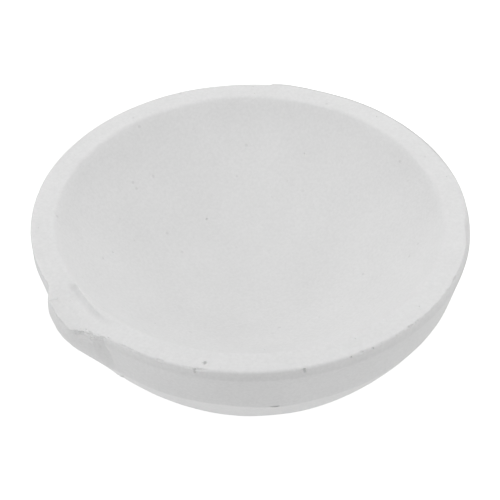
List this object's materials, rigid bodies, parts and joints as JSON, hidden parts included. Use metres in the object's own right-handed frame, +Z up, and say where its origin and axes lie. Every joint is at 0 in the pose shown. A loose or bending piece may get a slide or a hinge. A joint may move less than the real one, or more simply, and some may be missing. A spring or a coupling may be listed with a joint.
{
  "type": "ceramic melting dish",
  "caption": "Shallow round open dish of unglazed fired clay with a flat ground rim, a small pouring lip and a flat foot, for melting small charges.",
  "frame": {"origin": "centre of the foot's underside, where the dish rests on a level surface", "axes": "+Z up the dish's axis to the rim, +X out through the middle of the pouring lip, +Y to the left of a person who looks along +X"},
  "size_m": [0.0824, 0.08, 0.027],
  "materials": {
    "fired_clay": "unglazed, matte, fine grained, with scattered small pits and specks"
  },
  "bodies": {
    "root": {"dish_body": "fired_clay", "pouring_lip": "fired_clay"}
  },
  "joints": []
}
